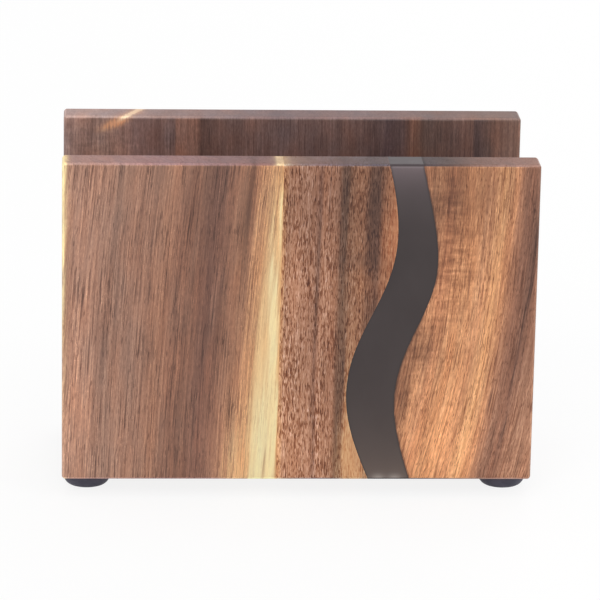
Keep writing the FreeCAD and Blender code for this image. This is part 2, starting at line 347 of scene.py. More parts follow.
def tinted(colour, grain, x, z, tints, frayed, seed):
    """Lays the tints over a colour, and gives how lively the wood still is: 1 if not tinted."""
    lively = 1.0
    fray = rise(cloud(grain, frayed, 2.0, seed + START["fray"]), *FRAY_RISES)
    fray = fray * FRAY_MORE + FRAY_LEAST
    for middle, reach, tilt, share, tint in tints:
        cover = patch(x, z, middle, reach, tilt) * share * fray
        cover = cover.work("MINIMUM", cover, 1.0)
        lively = lively - cover * CALM
        colour = blend(colour.finish, cover, colour, tint)
    return colour, lively.work("MAXIMUM", lively, LEAST_LIVELY)


print("a full tint leaves", round(1.0 - CALM, 2), "of the strokes, two leave", LEAST_LIVELY)


# %% [markdown]
# ## Where the river meets the wood
#
# The two boards beside the resin keep their live edges, and a live edge is never clean. A thin
# line runs along it, dark where bark stayed on the right bank, and the wood next to it is stained.
# On the left bank the line is pale, a painted highlight. To colour the wood along the banks its
# finish has to know where they are. The resin's own mesh knows: rays from both sides find the left
# and the right bank at even heights, and a colour ramp carries the two numbers as red and green.

# %% The banks, measured
BANK_FOOT, BANK_RISE = 8.0, 111.5
BANK_STEPS = 27
BANK_HEIGHTS = [BANK_FOOT + BANK_RISE * step / BANK_STEPS for step in range(BANK_STEPS + 1)]
BANK_SCALE = 100.0
RAY_START, RAY_DEPTH = 100.0, -34.0


def bank_stops():
    """The river's left and right bank as the stops of a ramp over BANK_HEIGHTS."""
    river = nodes["resin_river"]
    stops = []
    for step, height in enumerate(BANK_HEIGHTS):
        found = []
        for way in (1.0, -1.0):
            start = Vector((-RAY_START * way / MM, RAY_DEPTH / MM, height / MM))
            found.append(river.ray_cast(start, Vector((way, 0.0, 0.0)))[1].x * MM)
        share = step / (len(BANK_HEIGHTS) - 1)
        stops.append((share, (found[0] / BANK_SCALE, found[1] / BANK_SCALE, 0.0, 1.0)))
    return stops


bank_ramp = bank_stops()
for end in (0, -1):
    print("banks in mm at height", BANK_HEIGHTS[end],
          [round(share * BANK_SCALE, 2) for share in bank_ramp[end][1][:2]])


# %% Marks, bark, stain and a painted highlight
BARK_AND_HIGHLIGHT_LINE, BARK_STAIN = 0.4, 2.2
RAGGED_LUMPS = (2.0, 3.0, 7.0)
RAGGED_RISES = (0.2, 0.6)


def river_banks(z):
    """The left and the right bank at height z, in millimetres."""
    share = (z - BANK_HEIGHTS[0]) / (BANK_HEIGHTS[-1] - BANK_HEIGHTS[0])
    ramp = z.finish.node("ValToRGB", {"stops": bank_ramp}, {"Fac": share})
    return [bank * BANK_SCALE for bank in split(ramp)[:2]]


def marked(x, z, marks):
    """How much the marks darken the wood, in all."""
    shade = 0.0
    for middle, reach, tilt, deep in marks:
        shade = patch(x, z, middle, reach, tilt) * deep + shade
    return shade


def live_edge(grain, x, z, side, line, stain, seed):
    """How much the wood darkens along one bank of the river; a line below 0 is a painted
    highlight.
    """
    left, right = river_banks(z)
    away = left - x if side < 0 else x - right
    ragged = rise(cloud(grain, RAGGED_LUMPS, 2.0, seed + START["bank"]), *RAGGED_RISES)
    return (fade(away, BARK_AND_HIGHLIGHT_LINE) * line + fade(away, BARK_STAIN) * stain) * ragged


# The thin line is bark on the right bank and a painted highlight on the left one.
print("bark reaches", BARK_AND_HIGHLIGHT_LINE, "mm and its stain", BARK_STAIN, "mm from the river")

# %% Sawn ends and eased edges
SAWN_TINT = (0.72, 0.66, 0.74, 1.0)
SAWN_RISES = (0.3, 0.6)
EASED_RISES = (0.985, 0.9)


def sawn_ends(finish, axis):
    """1 where the surface cuts across the fibres, which run along the given axis, else 0."""
    facing = split(finish.node("TexCoord", output="Normal"))[axis]
    return rise(facing.work("ABSOLUTE", facing), *SAWN_RISES)


def eased_edges(finish):
    """1 on the eased edges, which face none of the six ways squarely, else 0."""
    facing = finish.node("TexCoord", output="Normal")
    x, y, z = split(facing.work("ABSOLUTE", facing))
    return rise(x.work("MAXIMUM", x.work("MAXIMUM", x, y), z), *EASED_RISES)


print("an end starts where the surface leans", SAWN_RISES[0], "towards the grain")

# %% [markdown]
# ## From darkness to colour
#
# Darkness is added up first and becomes colour at the end, as more stain in the same varnish
# would: light falls off with e to the power of the darkness. Patches, lines, pores and fibres can
# then be added in any order and never go below black.
#
# Strokes and shade are kept apart. Strokes are the wood's own colour made stronger, so each board
# has its ink, which says how much more or less red and blue they take than green. Shade is a plain
# shadow. Calm wood keeps more of its red. Last, the hue drifts between red and blue in soft
# clouds, since no board is of one hue.

# %% Varnish
DRIFT_OF_BLUE = 0.8
RED_IN_CALM, RED_IN_LIVELY = 0.6, 0.3


def varnished(colour, strokes_deep, shade, hue, ink, lively):
    """The colour under all its darkness."""
    red = (strokes_deep * ink[0] + shade) * (lively * RED_IN_LIVELY + RED_IN_CALM) - hue
    green = strokes_deep + shade
    blue = strokes_deep * ink[1] + shade + hue * DRIFT_OF_BLUE
    light = join(falling(red), falling(green), falling(blue))
    return blend(colour.finish, 1.0, colour, light, "MULTIPLY")


print("in calm wood red takes", RED_IN_CALM, "of the darkness, in lively wood",
      round(RED_IN_CALM + RED_IN_LIVELY, 2))

# %% One board's wood
SWAY_LUMPS = (1.3, 3.0, 34.0)
STROKES_AT_ENDS = 0.4
# How much paler the eased edges are painted, as a highlight.
PAINTED_EDGE_HIGHLIGHT = 0.42
END_ROUGHNESS, EDGE_GLOSS, PORE_ROUGHNESS = 0.3, 0.1, 0.1
STROKE_RELIEF, PORE_RELIEF = -0.3, 0.5


def wood(name, stops, layers, pores, lean=0.0, bend=0.0, ring=0.35, wander=2.0, feather=1.0,
         bars=(), marks=(), tints=(), sawn=(), slant=0.0, bank=(), warmth=0.1,
         clouds=(3, 9, 40), frayed=(1.0, 3.0, 24.0), ink=(1.0, 1.0), gloss=0.42, seed=0.0,
         turned=False):
    """A satin oiled board.

    layers are noise along the grain: size across, size through, size along, depth.
    pores are peaks of such noise: size across, length, share where they start, depth. A depth
    below 0 makes a pale fleck.
    lean, bend, ring and wander say how the rings run, and feather how far their tones fray.
    bars are ripple across the grain inside a patch: middle, reach, depth.
    marks are patches that darken: middle, reach, lean, depth. Below 0 they lighten; low on the
    front boards such patches are partly the wood's figure and partly painted light.
    tints are patches of another wood: middle, reach, lean, share, colour. frayed is the size of
    the noise that breaks their outline.
    sawn are the tones of the sawn ends, each a place and a colour, and slant is how far marks,
    tints and sawn ends run sideways through the board.
    bank is the live edge beside the river: side (-1 left, 1 right), thin line, wide stain. A line
    below 0 is pale, a painted highlight.
    warmth is how far the hue drifts, in patches as big as clouds.
    ink is how much of the strokes' depth red and blue take.
    turned boards have their grain along X.
    """
    finish = Finish(bpy.data.materials.new(name))
    place = place_in(finish)
    if turned:
        x, y, z = split(place)
        place = join(z, y, x)
    x, y, z = split(place)
    across = across_board(place, lean, bend, ring, wander, seed)
    grain = join(across, y, z)
    sway = (cloud(grain, SWAY_LUMPS, 2.0, seed + START["sway"]) - 0.5) * feather
    through = (y - FRONT_FACE) * slant
    swaying = x + sway - through

    colour = tones_across(across + sway, stops)
    if sawn:
        end_colour = tones_across(x - through, sawn)
    else:
        end_colour = blend(finish, 1.0, colour, SAWN_TINT, "MULTIPLY")
    ends = sawn_ends(finish, 0 if turned else 2)
    colour = blend(finish, ends, colour, end_colour)
    lively = 1.0
    if tints:
        colour, lively = tinted(colour, grain, swaying, z, tints, frayed, seed)

    fibres, open_pores = strokes(grain, x, z, layers, pores, bars, seed)
    eased = eased_edges(finish)
    # The eased edges are painted paler: a painted highlight.
    strokes_deep = fibres * lively * (1.0 - ends * (1.0 - STROKES_AT_ENDS)) - eased * PAINTED_EDGE_HIGHLIGHT
    shade = marked(swaying, z, marks)
    if bank:
        shade = live_edge(grain, x, z, *bank, seed) + shade
    hue = (cloud(grain, clouds, 2.0, seed + START["hue"]) - 0.5) * warmth
    colour = varnished(colour, strokes_deep, shade, hue, ink, lively)

    roughness = open_pores * PORE_ROUGHNESS + ends * END_ROUGHNESS - eased * EDGE_GLOSS + gloss
    relief = fibres * STROKE_RELIEF - open_pores * PORE_RELIEF
    return surfaced(
        finish, colour, roughness, relief, strength=0.35, depth_mm=0.06, IOR=1.47
    )


# The paler eased edges are a painted highlight.
print("worn edges are", PAINTED_EDGE_HIGHLIGHT, "paler in depth, sawn ends", END_ROUGHNESS, "rougher")

# %% [markdown]
# ## The front plate's left board
#
# A wide board of mauve brown heartwood. Its streaks lean to the right as they rise, with a broad
# dark band through the middle. At its right runs the sapwood, the young wood under the bark:
# orange at first, then pale cream that fades out towards the top. A sliver of sapwood shows at
# its left edge too. The long hairlines are pores that the plane opened lengthwise.

# %% Left board
CREAM = tone(248, 226, 174)
SAP_TAN = tone(230, 192, 144)
EDGE_CREAM = tone(244, 214, 164)
GLUE_ORANGE = tone(222, 164, 112)

# The sawn ends of all the front plate's boards, from the left to the right.
front_sawn = [
    (-84, tone(224, 190, 156)), (-81.2, tone(224, 190, 156)), (-80.6, tone(172, 136, 126)),
    (-70, tone(166, 130, 122)), (-50, tone(158, 123, 121)), (-30, tone(149, 117, 115)),
    (-12, tone(138, 106, 101)), (-9.3, tone(142, 110, 104)), (-8.9, tone(224, 195, 157)),
    (-6.2, tone(214, 182, 148)), (-3.4, tone(174, 142, 125)), (0, tone(156, 128, 118)),
    (6, tone(149, 121, 116)), (13, tone(134, 111, 108)), (20, tone(122, 105, 105)),
    (28, tone(112, 98, 99)), (44, tone(94, 81, 82)), (51, tone(112, 91, 86)),
    (60, tone(149, 117, 106)), (75, tone(158, 123, 112)), (84, tone(156, 122, 110)),
]

left_board_wood = wood(
    "left_board_wood",
    [
        (-92, tone(178, 135, 114)), (-80, tone(180, 137, 117)), (-73, tone(178, 135, 115)),
        (-66, tone(156, 121, 105)), (-60, tone(163, 124, 106)), (-54, tone(157, 120, 103)),
        (-49, tone(176, 130, 107)), (-44, tone(150, 111, 94)), (-38, tone(138, 102, 87)),
        (-33, tone(130, 96, 84)), (-29, tone(139, 102, 87)), (-25, tone(157, 116, 96)),
        (-21.6, tone(158, 116, 94)), (-20.0, tone(166, 121, 97)), (-18.8, tone(194, 144, 111)),
        (-14, tone(208, 155, 115)), (-10, tone(224, 168, 118)), (-4, tone(210, 154, 110)),
    ],
    layers=[(4.0, 16.0, 150.0, 0.4), (1.7, 5.0, 90.0, 0.9), (0.7, 2.0, 45.0, 1.1),
            (0.42, 0.8, 14.0, 1.0), (0.36, 0.4, 1.8, 1.0)],
    pores=[(0.4, 22.0, 0.59, 0.7), (0.5, 30.0, 0.61, -0.26), (0.36, 5.0, 0.615, 0.65),
           (0.36, 0.7, 0.66, -0.3)],
    lean=0.075, bend=0.0003, ring=0.4, wander=1.2, feather=2.4,
    # The lightening patches low on the board are partly its figure and partly painted light.
    marks=[((-30, 108), (6, 24), 0.13, 0.2), ((-45, 22), (6, 26), 0.2, 0.14),
           ((-28, 12), (9, 30), 0.05, -0.4), ((-70, 15), (26, 34), 0.0, -0.22),
           ((-47, 62), (4, 26), 0.08, 0.14), ((-18.0, 107), (1.4, 20), 0.1, 0.65),
           ((-38.2, 102), (0.28, 13), 0.13, 1.1), ((-75.4, 70), (0.3, 8), 0.08, 0.8),
           ((-78.4, 87), (0.3, 7), 0.08, 0.6), ((-65.4, 108), (0.28, 7), 0.09, 0.6),
           ((-43.8, 45), (0.3, 16), 0.06, 0.6), ((-34.0, 38), (0.3, 15), 0.06, 0.6),
           ((-11.9, 12), (0.28, 6), 0.09, 0.8)],
    tints=[((-20.5, 8), (4.6, 20), 0.06, 0.55, SAP_TAN),
           ((-12.6, 28), (2.9, 46), 0.05, 4.0, SAP_TAN),
           ((-8.9, 46), (1.3, 36), -0.01, 2.2, CREAM), ((-13.0, 4), (3.4, 34), 0.06, 2.3, CREAM),
           ((-7.2, 102), (0.5, 11), 0.01, 1.3, CREAM),
           ((-6.4, 40), (0.9, 60), 0.009, 1.0, GLUE_ORANGE),
           ((-83.4, 125), (1.9, 56), 0.0, 2.6, EDGE_CREAM)],
    sawn=front_sawn, warmth=0.26, clouds=(4, 9, 24), seed=2.0,
)

# %% [markdown]
# ## The front plate's middle board
#
# Orange brown wood with coarse open pores, which the plane cut across at a slant: they show as
# very many short dark dashes. Beside the river the fibres were wavy in the tree, and that shows
# as bars across the grain. Its ink leaves more of the red and takes more of the blue, so that its
# dashes are warm and not grey.

# %% Middle board
RIBBON = tone(192, 132, 97)
BANK_GOLD = tone(214, 164, 122)

middle_board_wood = wood(
    "middle_board_wood",
    [
        (-9, tone(232, 178, 128)), (-6.6, tone(220, 166, 124)), (-5.2, tone(194, 144, 115)),
        (0, tone(192, 143, 116)), (4.2, tone(184, 137, 112)), (5.6, tone(156, 115, 96)),
        (7.2, tone(190, 139, 111)), (12, tone(176, 129, 104)), (13.4, tone(136, 102, 84)),
        (15, tone(128, 97, 80)), (16.6, tone(164, 121, 96)), (21, tone(170, 123, 96)),
        (23, tone(138, 101, 82)), (26, tone(122, 90, 76)), (28.4, tone(154, 108, 84)),
        (34, tone(190, 132, 97)),
    ],
    layers=[(3.5, 12.0, 110.0, 0.4), (1.2, 3.0, 50.0, 0.9), (0.5, 1.0, 7.0, 1.2),
            (0.36, 0.4, 1.8, 1.5)],
    pores=[(0.38, 2.2, 0.56, 1.2), (0.36, 4.8, 0.56, 1.1), (0.4, 3.4, 0.57, -0.42)],
    lean=0.012, bend=0.0001, ring=0.2, wander=1.2, feather=1.6,
    bars=[((31, 96), (4.0, 17), 2.4), ((20, 78), (8, 6), 1.2), ((22, 112), (6, 8), 1.0)],
    # The lightening patches low on the board are partly its figure and partly painted light.
    marks=[((4, 110), (26, 20), 0.0, 0.46), ((0, 18), (10, 18), 0.0, -0.2),
           ((18, 20), (4, 12), 0.0, -0.1),
           ((24.5, 104), (2.8, 20), 0.0, 0.66), ((24, 77), (5, 5), 0.0, -0.4),
           ((20, 86.5), (10, 3), 0.0, 0.3), ((3, 62), (5, 16), 0.0, 0.16),
           ((10, 42), (4, 14), 0.0, 0.2), ((6.2, 86), (0.6, 26), 0.03, 0.5),
           ((14.6, 108), (1.6, 22), 0.0, 0.42), ((19, 75), (3, 8), 0.0, 0.16),
           ((15.4, 48), (0.6, 10), 0.03, 0.7),
           ((13.6, 24), (0.5, 16), 0.02, 0.5), ((10, 112), (0.35, 14), 0.02, 0.4)],
    tints=[((31.5, 94), (2.6, 15), 0.0, 1.2, RIBBON), ((18.4, 32), (1.9, 16), 0.0, 1.6, BANK_GOLD),
           ((19.5, 12), (4.4, 14), 0.0, 1.8, BANK_GOLD)],
    # The pale line along the left bank is a painted highlight.
    sawn=front_sawn, bank=(-1, -0.3, 0.2), warmth=0.2, ink=(0.74, 1.35), seed=31.0,
)

# %% [markdown]
# ## The front plate's right board
#
# Golden brown wood whose streaks lean more and more towards the bottom, with a darker side at the
# right where a few nearly black lines follow the grain. Faint waves cross it beside the river.

# %% Right board
right_board_wood = wood(
    "right_board_wood",
    [
        (30, tone(196, 136, 102)), (38, tone(198, 139, 104)), (44, tone(210, 151, 112)),
        (48, tone(198, 139, 104)), (52, tone(206, 147, 108)), (57, tone(212, 152, 111)),
        (62, tone(208, 148, 110)), (66, tone(224, 164, 118)), (69.4, tone(210, 149, 110)),
        (71.5, tone(184, 130, 101)), (74, tone(156, 113, 93)), (78, tone(140, 102, 86)),
        (82, tone(154, 112, 92)), (95, tone(162, 119, 97)),
    ],
    layers=[(3.5, 12.0, 90.0, 0.6), (1.3, 3.0, 40.0, 0.9), (0.55, 1.2, 9.0, 1.1),
            (0.38, 0.5, 2.4, 1.3), (7.0, 12.0, 9.0, 0.35)],
    pores=[(0.38, 14.0, 0.58, 0.6), (0.36, 2.2, 0.59, 0.55), (0.45, 9.0, 0.6, -0.24)],
    lean=0.13, bend=-0.0009, ring=0.35, wander=1.4, feather=2.2,
    bars=[((52, 84), (9, 20), 2.1), ((48, 108), (8, 10), 1.4), ((42, 52), (8, 14), 1.2),
          ((72, 12), (10, 14), 0.8)],
    # The lightening patches low on the board are partly its figure and partly painted light.
    marks=[((50, 110), (9, 18), 0.05, 0.72), ((51, 107), (5, 4), 0.0, 0.2),
           ((64, 112), (12, 18), 0.05, 0.4), ((55, 66), (4, 3), 0.0, 0.16),
           ((42.2, 54), (4.6, 8), 0.1, 0.7), ((36.2, 39), (3.8, 12), -0.1, 0.65),
           ((50, 20), (16, 22), 0.15, -0.4), ((55, 84), (5, 6), 0.0, 0.16),
           ((76, 16), (10, 26), 0.12, -0.44), ((79, 100), (4, 14), 0.0, 0.26),
           ((74, 82), (5, 14), 0.1, 0.2), ((75, 32), (6, 14), 0.15, -0.16),
           ((79.4, 72), (0.45, 12), 0.18, 1.0), ((77.2, 58), (0.35, 8), 0.2, 0.7),
           ((81.4, 92), (0.6, 14), 0.1, 0.8), ((72.3, 26), (0.35, 7), 0.22, 1.0),
           ((67.3, 36), (0.35, 5), 0.2, 0.8), ((75.2, 46), (0.35, 9), 0.2, 0.9),
           ((58.7, 78), (0.3, 8), 0.07, 0.6), ((63.5, 96), (0.3, 12), 0.06, 0.4)],
    sawn=front_sawn, bank=(1, 1.3, 0.35), warmth=0.25, ink=(0.9, 1.12), seed=57.0,
)

# %% [markdown]
# ## The back plate
#
# The back plate is of darker, quieter heartwood, glued from four boards: each has its own tone,
# and one ladder of tones serves all four because they share one frame. A thin vein of sapwood
# crosses its top near the left end and dips into the face, where it turns orange. The vein and
# the tones of the sawn top run through the plate at a slant, further right towards the back.

# %% Back plate
VEIN_CREAM = tone(238, 208, 178)
VEIN_ORANGE = tone(220, 163, 128)

back_sawn = [
    (-117, tone(178, 151, 145)), (-107, tone(176, 149, 143)), (-92, tone(164, 139, 134)),
    (-74, tone(152, 126, 121)), (-42, tone(128, 107, 106)), (-12, tone(134, 111, 109)),
    (18, tone(128, 105, 101)), (47, tone(136, 111, 103)),
]

back_plate_wood = wood(
    "back_plate_wood",
    [
        (-84, tone(156, 127, 119)), (-68, tone(156, 125, 114)), (-56, tone(140, 113, 108)),
        (-43, tone(134, 109, 104)), (-42.1, tone(134, 109, 104)), (-42.0, tone(154, 118, 106)),
        (-34.5, tone(142, 108, 97)), (-33, tone(114, 90, 84)), (-20, tone(128, 102, 96)),
        (0, tone(126, 103, 99)), (22, tone(120, 97, 92)), (32.8, tone(102, 86, 85)),
        (33, tone(98, 82, 82)), (40, tone(104, 86, 84)), (43.5, tone(130, 99, 88)),
        (47, tone(108, 88, 82)), (62, tone(118, 94, 88)), (65.5, tone(116, 93, 87)),
        (65.7, tone(92, 79, 79)), (70.5, tone(104, 84, 79)), (74, tone(126, 97, 87)),
        (84, tone(134, 103, 91)),
    ],
    layers=[(3.0, 14.0, 120.0, 0.6), (5.0, 12.0, 9.0, 0.6), (0.9, 3.0, 60.0, 1.0),
            (0.5, 1.0, 14.0, 1.0), (0.36, 0.4, 1.6, 1.2)],
    pores=[(0.4, 12.0, 0.6, 0.4)],
    ring=0.0, wander=0.0, feather=0.8, slant=0.48,
    bars=[((-72, 112), (20, 12), 0.9)],
    marks=[((-80.5, 117), (3.6, 14), 0.0, 0.16), ((-106.5, 110), (3.4, 4), 0.0, 0.16),
           ((-94, 104), (6, 8), 0.0, -0.1), ((20, 112), (3, 18), 0.0, 0.14)],
    tints=[((-96.6, 118.4), (2.9, 2.4), 1.5, 1.5, VEIN_ORANGE),
           ((-92.4, 121.2), (1.2, 1.6), 1.35, 2.2, VEIN_CREAM)],
    sawn=back_sawn, warmth=0.4, clouds=(7, 12, 13), frayed=(0.6, 1.6, 4.0), seed=83.0,
)

# %% [markdown]
# ## The base board
#
# The base board lies flat between the plates with its grain running from end to end. The same
# wood serves: X and Z only change over first, so its tones and strokes run along X.

# %% Base board
base_board_wood = wood(
    "base_board_wood",
    [
        (0, tone(156, 116, 94)), (10, tone(174, 128, 102)), (18, tone(146, 108, 88)),
        (28, tone(178, 132, 104)), (44, tone(156, 118, 96)), (62, tone(172, 128, 102)),
    ],
    layers=[(4.0, 12.0, 90.0, 0.5), (1.2, 3.0, 60.0, 0.9), (0.6, 1.2, 16.0, 1.0),
            (0.4, 0.5, 3.0, 0.8)],
    pores=[(0.42, 4.5, 0.58, 0.6)],
    ring=0.6, wander=3.0, turned=True, seed=109.0,
)

# %% [markdown]
# ## Smoky resin
#
# Epoxy poured between the live edges, tinted with dark smoke and sanded flush, then oiled to a
# satin. It is nearly opaque through 12 mm, but daylight that enters at its top and bottom edges
# makes it paler there. A glass shader would show this truly and slowly, so that light is painted:
# paler tones near the two ends, alike from every side, with soft clouds for the smoke. The resin
# is darker in a thin rim along the wood, and two whitish spots at its lower edge are a painted
# highlight on its rounding. The sawn ends themselves are duller and darker than the polished face.

# %% Resin
TOP_OF_RIVER, FOOT_OF_RIVER = 120.9, 6.4
SMOKE_DARK, SMOKE_PALE = tone(62, 56, 56), tone(77, 70, 70)
# Painted light: the resin is paler towards its top and its foot, where daylight enters it.
TOP_PAINTED_LIGHT, TOP_LIGHT_REACH = tone(120, 107, 110), 7.0
BOTTOM_PAINTED_LIGHT, BOTTOM_LIGHT_REACH, BOTTOM_LIGHT_SHARE = tone(116, 102, 95), 14.0, 0.8
# Two painted highlights on the resin's lower rounding.
RESIN_HIGHLIGHT, HIGHLIGHT_SPOTS, HIGHLIGHT_REACH = tone(176, 166, 160), ((28.6, 6.0), (34.4, 6.0)), (2.2, 2.0)
RIM, RIM_REACH, RIM_SHARE = tone(58, 50, 48), 0.45, 0.6
SAWN_RESIN = tone(76, 68, 70)
RESIN_SATIN, SATIN_VARIES = 0.26, 0.08


def resin(name):
    """Smoky cast resin between the live edges."""
    finish = Finish(bpy.data.materials.new(name))
    place = place_in(finish)
    x, y, z = split(place)
    smoke = cloud(place, (14.0, 10.0, 24.0), 3.0, 5.0)
    body = blend(finish, smoke, SMOKE_DARK, SMOKE_PALE)
    # Painted light, paler towards the top and the foot of the river.
    painted_top_light = falling((TOP_OF_RIVER - z) / TOP_LIGHT_REACH)
    body = blend(finish, painted_top_light, body, TOP_PAINTED_LIGHT)
    painted_bottom_light = falling((z - FOOT_OF_RIVER) / BOTTOM_LIGHT_REACH)
    body = blend(finish, painted_bottom_light * BOTTOM_LIGHT_SHARE, body, BOTTOM_PAINTED_LIGHT)
    # Two painted highlights on the resin's lower rounding.
    for spot in HIGHLIGHT_SPOTS:
        body = blend(finish, patch(x, z, spot, HIGHLIGHT_REACH), body, RESIN_HIGHLIGHT)
    left, right = river_banks(z)
    rims = fade(x - left, RIM_REACH) + fade(right - x, RIM_REACH)
    body = blend(finish, rims * RIM_SHARE, body, RIM)
    ends = sawn_ends(finish, 2)
    body = blend(finish, ends, body, SAWN_RESIN)
    satin = cloud(place, (6.0, 6.0, 6.0), 2.0, 2.0)
    roughness = satin * SATIN_VARIES + ends * END_ROUGHNESS + RESIN_SATIN
    ripples = cloud(place, (1.6, 1.6, 1.6), 2.0, 1.0)
    return surfaced(finish, body, roughness, ripples, strength=0.05, depth_mm=0.05, IOR=1.5)


smoky_resin = resin("smoky_river_resin")

# %% [markdown]
# ## Rubber
#
# The feet are moulded rubber. Their skin is faintly grainy from the mould, and a little dust
# stays on it in patches.

# %% Rubber
BLACK_RUBBER, DUSTY_RUBBER = tone(82, 81, 92), tone(94, 92, 104)
DUST_RISES = (0.35, 0.7)
RUBBER_DULL, DULL_VARIES = 0.55, 0.15


def rubber(name):
    """Moulded rubber with a grainy skin."""
    finish = Finish(bpy.data.materials.new(name))
    place = place_in(finish)
    grain = cloud(place, (0.35, 0.35, 0.35), 3.0, 4.0)
    dust = rise(cloud(place, (5.0, 5.0, 3.0), 2.0, 9.0), *DUST_RISES)
    colour = blend(finish, dust, BLACK_RUBBER, DUSTY_RUBBER)
    roughness = grain * DULL_VARIES + RUBBER_DULL
    return surfaced(finish, colour, roughness, grain, strength=0.25, depth_mm=0.05, IOR=1.5)


foot_rubber = rubber("foot_rubber_skin")

# %% [markdown]
# ## Steel
#
# The screws in the feet are drawn round by the lathe, so fine rings run about each screw's own
# axis. Noise that knows only a point's distance from the axis and its height gives such rings.

# %% Steel
DULL_STEEL = (0.46, 0.46, 0.47, 1.0)
BRIGHT_STEEL = (0.62, 0.62, 0.63, 1.0)
STEEL_SATIN, RINGS_VARY = 0.24, 0.16


def steel(name, screw):
    """Steel with turning rings about one screw's axis."""
    axis = middle_of(screw)
    finish = Finish(bpy.data.materials.new(name))
    x, y, z = split(place_in(finish))
    side, deep = x - axis.x, y - axis.y
    radius = x.work("SQRT", side * side + deep * deep)
    rings = cloud(join(radius, 0.0, z), (0.05, 1.0, 0.12), 2.0, 1.0)
    colour = blend(finish, rings, DULL_STEEL, BRIGHT_STEEL)
    roughness = rings * RINGS_VARY + STEEL_SATIN
    return surfaced(finish, colour, roughness, rings, strength=0.2, depth_mm=0.02, Metallic=1.0)


screw_steel = {
    name: steel(name + "_steel", name)
    for name in sorted(nodes) if name.startswith("foot_screw")
}

# %% [markdown]
# ## Beech
#
# The dowels are beech, a pale even wood with short dark flecks. They lie hidden in their holes
# and are finished all the same.

# %% Beech
dowel_beech = wood(
    "dowel_beech_wood",
    [(-100, tone(216, 180, 140)), (0, tone(208, 170, 130)), (100, tone(220, 186, 148))],
    layers=[(1.5, 3.0, 30.0, 0.3), (0.4, 0.8, 6.0, 0.5)],
    pores=[(0.35, 1.6, 0.64, 0.35)],
    ring=0.3, gloss=0.6, seed=141.0,
)

# %% [markdown]
# ## Rounded feet
#
# A rubber foot comes out of its mould with a full round rim, and that rim is all that shows of it
# under the plates. In the CAD model the foot is a tapered disc with one bevel. A subdivided disc
# would come out soft everywhere, also at the sharp seat for the screw. So the true half section
# is drawn once, with an elliptical quarter for the rim, and turned about the foot's own axis, as
# a lathe would. Each foot stands where the CAD foot stands and takes its place.

# %% Half section of a foot
TOP_RADIUS, SOLE_RADIUS, FOOT_HEIGHT = 8.6, 8.35, 6.4
RIM_WIDTH, RIM_HEIGHT, RIM_STEPS = 2.7, 3.6, 9
BORE_RADIUS, SEAT_RADIUS, SEAT_HEIGHT, SEAT_BEVEL = 1.45, 3.4, 3.0, 0.3


def foot_section():
    """Once round the half section: radius and height in millimetres."""
    rim = []
    for step in range(RIM_STEPS + 1):
        turn = 0.5 * math.pi * step / RIM_STEPS
        radius = SOLE_RADIUS - RIM_WIDTH * (1.0 - math.sin(turn))
        rim.append((radius, RIM_HEIGHT * (1.0 - math.cos(turn))))
    seat = [
        (BORE_RADIUS, FOOT_HEIGHT), (BORE_RADIUS, SEAT_HEIGHT), (SEAT_RADIUS, SEAT_HEIGHT),
        (SEAT_RADIUS, SEAT_BEVEL), (SEAT_RADIUS + SEAT_BEVEL, 0.0),
    ]
    return seat + rim + [(TOP_RADIUS, FOOT_HEIGHT)]


print("points of the half section:", len(foot_section()))


# %% A lathe
SHARP_FROM = math.radians(35.0)


def lathe(name, section, axis, finish, spokes=64):
    """Turns a closed half section, in millimetres, about a vertical axis."""
    points, faces = [], []
    count = len(section)
    for spoke in range(spokes):
        turn = 2.0 * math.pi * spoke / spokes
        here, there = spoke * count, (spoke + 1) % spokes * count
        for place, (radius, height) in enumerate(section):
            after = (place + 1) % count
            x, y = axis[0] + radius * math.cos(turn), axis[1] + radius * math.sin(turn)
            points.append((x / MM, y / MM, height / MM))
            faces.append((here + place, here + after, there + after, there + place))
    mesh = bpy.data.meshes.new(name)
    mesh.from_pydata(points, [], faces)
    mesh.shade_smooth()
    mesh.set_sharp_from_angle(angle=SHARP_FROM)
    mesh.materials.append(finish)
    piece = bpy.data.objects.new(name, mesh)
    bpy.context.scene.collection.objects.link(piece)
    return piece


print("edges stay sharp from", round(math.degrees(SHARP_FROM)), "degrees")

# %% Four feet
for name in sorted(nodes):
    if name.startswith("foot_") and name not in screw_steel:
        foot = lathe("round_" + name, foot_section(), middle_of(name), foot_rubber)
        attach(foot, "root")
        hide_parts(name)
        print(foot.name, len(foot.data.polygons), "faces, instead of", name)

# %% [markdown]
# ## Finishing the pieces
#
# Each piece of the frame keeps its shape and only gets its finish. A list of how names begin is
# enough to say which finish goes where, and the first that fits is taken.

# %% Finishes on the pieces
finishes = {
    "front_left_board": left_board_wood,
    "front_middle_board": middle_board_wood,
    "front_right_board": right_board_wood,
    "resin_river": smoky_resin,
    "back_dowel": dowel_beech,
    "front_dowel": dowel_beech,
    "back_": back_plate_wood,
    "base_board": base_board_wood,
    **screw_steel,
    "foot_": foot_rubber,
}
for name, node in sorted(nodes.items()):
    finish = next(f for start, f in finishes.items() if name.startswith(start))
    for material_slot in node.material_slots:
        material_slot.material = finish
    print(name, "->", finish.name)

# %% [markdown]
# ## A plain studio
#
# The holder stands on a white floor in white air, with soft lamps in front, above and behind.
# The floor is painted pale and lit like anything else, so that it keeps the holder's shadow. What
# the camera and the reflections see of it is mostly plain white.

# %% White air
AIR = 0.5
WHITE = (1.0, 1.0, 1.0, 1.0)
scene = bpy.context.scene


def seen(finish):
    """1 for rays from the camera, from gloss and through glass, and 0 for light that fills."""
    light_path = finish.node("LightPath")
    rays = light_path.socket.node.outputs
    pick = [Wire(finish, rays[kind]) for kind in
            ("Is Camera Ray", "Is Glossy Ray", "Is Transmission Ray")]
    return pick[0] + pick[1] + pick[2]


